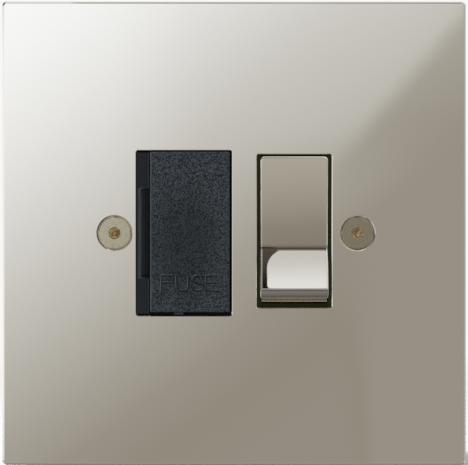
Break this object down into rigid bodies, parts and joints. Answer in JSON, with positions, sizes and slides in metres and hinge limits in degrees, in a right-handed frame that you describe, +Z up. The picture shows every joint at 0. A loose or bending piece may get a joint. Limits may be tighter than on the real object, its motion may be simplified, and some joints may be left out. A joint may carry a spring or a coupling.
{
  "type": "switched fused connection unit",
  "caption": "Square polished nickel wall plate with a black pull-out fuse carrier, a metal rocker switch and countersunk fixing screws, with terminals behind.",
  "frame": {"origin": "midway between the two fixing screws, on the plate's back plane, which is the wall's surface", "axes": "+X to the right seen from the room, +Y into the wall, +Z up"},
  "size_m": [0.115, 0.0388, 0.115],
  "materials": {
    "polished_nickel": "mirror polish",
    "nickel_screw": "nickel plated brass, worn satin",
    "black_moulding": "fine spark texture",
    "dark_moulding": "satin moulded",
    "cover_moulding": "satin moulded",
    "acetal": "smooth",
    "brass": "extruded, bright",
    "copper_strip": "rolled strip",
    "silver_tip": "satin",
    "steel": "zinc plated",
    "fuse_ceramic": "glazed ceramic"
  },
  "bodies": {
    "fixed_unit": {"front_plate": "polished_nickel", "fixing_screws": "nickel_screw", "front_housing": "dark_moulding", "rear_cover": "cover_moulding", "cover_screws": "steel", "plate_studs": "steel", "lock_washers": "steel", "stud_nuts": "steel", "supply_live_contact": "copper_strip", "supply_neutral_contact": "copper_strip", "neutral_saddle": "copper_strip", "live_link": "copper_strip", "load_live_contact": "copper_strip", "earth_strap": "copper_strip", "supply_live_pillar": "brass", "supply_neutral_pillar": "brass", "supply_earth_pillar": "brass", "load_live_pillar": "brass", "load_neutral_pillar": "brass", "load_earth_pillar": "brass", "terminal_screws": "brass", "live_fixed_tip": "silver_tip", "neutral_fixed_tip": "silver_tip"},
    "carrier": {"fuse_carrier": "black_moulding", "fuse_tube": "fuse_ceramic", "upper_fuse_cap": "nickel_screw", "lower_fuse_cap": "nickel_screw"},
    "rocker": {"rocker_cap": "polished_nickel", "rocker_body": "black_moulding", "live_plunger_spring": "steel", "neutral_plunger_spring": "steel"},
    "live_plunger": {"live_plunger": "acetal"},
    "neutral_plunger": {"neutral_plunger": "acetal"},
    "live_arm": {"live_contact_arm": "copper_strip", "live_moving_tip": "silver_tip"},
    "neutral_arm": {"neutral_contact_arm": "copper_strip", "neutral_moving_tip": "silver_tip"}
  },
  "joints": [
    {"name": "rocker_hinge", "type": "hinge", "parent": "fixed_unit", "child": "rocker", "pos_m": [0.01443, 0.007, 0.0005], "axis": [1, 0, 0], "range_deg": [0, 13]},
    {"name": "live_plunger_slide", "type": "slide", "parent": "rocker", "child": "live_plunger", "axis": [0, -0.9936, 0.1132], "range_m": [0, 0.001], "stiffness_N_per_m": 400, "springref_m": -0.006, "deforming": ["live_plunger_spring"]},
    {"name": "neutral_plunger_slide", "type": "slide", "parent": "rocker", "child": "neutral_plunger", "axis": [0, -0.9936, 0.1132], "range_m": [0, 0.001], "stiffness_N_per_m": 400, "springref_m": -0.006, "deforming": ["neutral_plunger_spring"]},
    {"name": "live_arm_hinge", "type": "hinge", "parent": "fixed_unit", "child": "live_arm", "pos_m": [0.00953, 0.019, 0.0005], "axis": [1, 0, 0], "range_deg": [-13, 0]},
    {"name": "neutral_arm_hinge", "type": "hinge", "parent": "fixed_unit", "child": "neutral_arm", "pos_m": [0.01933, 0.019, 0.0005], "axis": [1, 0, 0], "range_deg": [-13, 0]},
    {"name": "carrier_slide", "type": "slide", "parent": "fixed_unit", "child": "carrier", "axis": [0, -1, 0], "range_m": [0, 0.012]}
  ],
  "couplings": [
    {"joint": "live_arm_hinge", "follows": "rocker_hinge", "ratio": -1},
    {"joint": "neutral_arm_hinge", "follows": "rocker_hinge", "ratio": -1}
  ]
}
